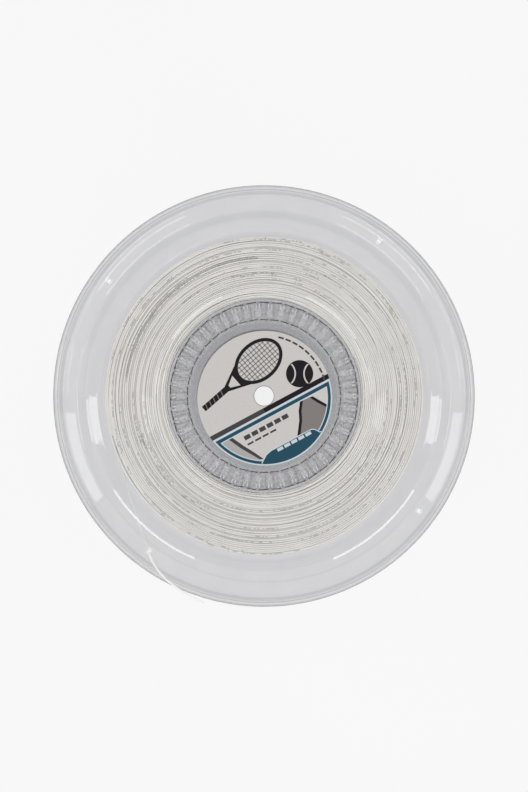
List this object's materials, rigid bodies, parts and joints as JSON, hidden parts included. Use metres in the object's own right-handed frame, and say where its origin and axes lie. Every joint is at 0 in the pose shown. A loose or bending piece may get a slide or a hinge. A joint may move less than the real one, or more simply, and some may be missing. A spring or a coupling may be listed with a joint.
{
  "type": "string reel",
  "caption": "Full reel of racket string: two clear interlocking flanges, a wide off-white winding, a loose string end through a rim hole and round hub labels.",
  "frame": {"origin": "centre of the rear rim's resting plane, on the spindle axis", "axes": "+Z runs along the spindle axis from the rear flange to the front flange, +Y is the top of the front label, and +X is its right-hand side"},
  "size_m": [0.266, 0.266, 0.0325],
  "materials": {
    "clear_plastic": "clear moulded polystyrene, polished",
    "printed_label": "coated card, printed",
    "string": "satin nylon string"
  },
  "bodies": {
    "root": {"rear_flange": "clear_plastic", "front_flange": "clear_plastic", "rear_label": "printed_label", "front_label": "printed_label", "string_winding": "string", "string_tail": "string"}
  },
  "joints": []
}
